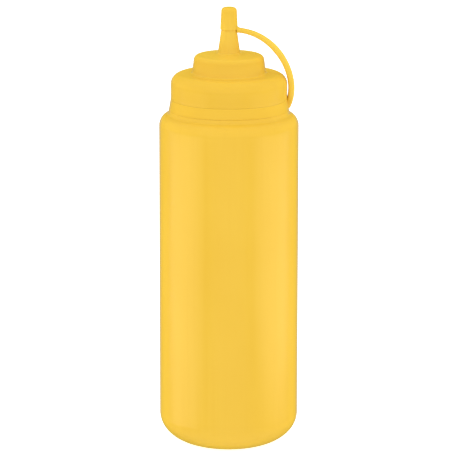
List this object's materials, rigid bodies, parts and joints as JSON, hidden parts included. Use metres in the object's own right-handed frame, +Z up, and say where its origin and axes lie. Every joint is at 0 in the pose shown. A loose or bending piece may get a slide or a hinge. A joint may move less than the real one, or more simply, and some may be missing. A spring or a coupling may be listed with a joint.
{
  "type": "squeeze bottle",
  "caption": "Tall round squeeze bottle with a rounded foot, a stepped screw lid, a cone nozzle and a tip cap held by a curved strap.",
  "frame": {"origin": "centre of the base, on the plane of the standing ring", "axes": "+Z up along the bottle's axis, +X towards the strap, -Y towards the viewer"},
  "size_m": [0.08, 0.08, 0.2548],
  "materials": {
    "bottle_plastic": "satin, opaque yellow",
    "lid_plastic": "satin, opaque yellow",
    "tether_plastic": "satin, opaque yellow"
  },
  "bodies": {
    "root": {"bottle": "bottle_plastic", "lid": "lid_plastic", "tip_cap": "tether_plastic"}
  },
  "joints": []
}
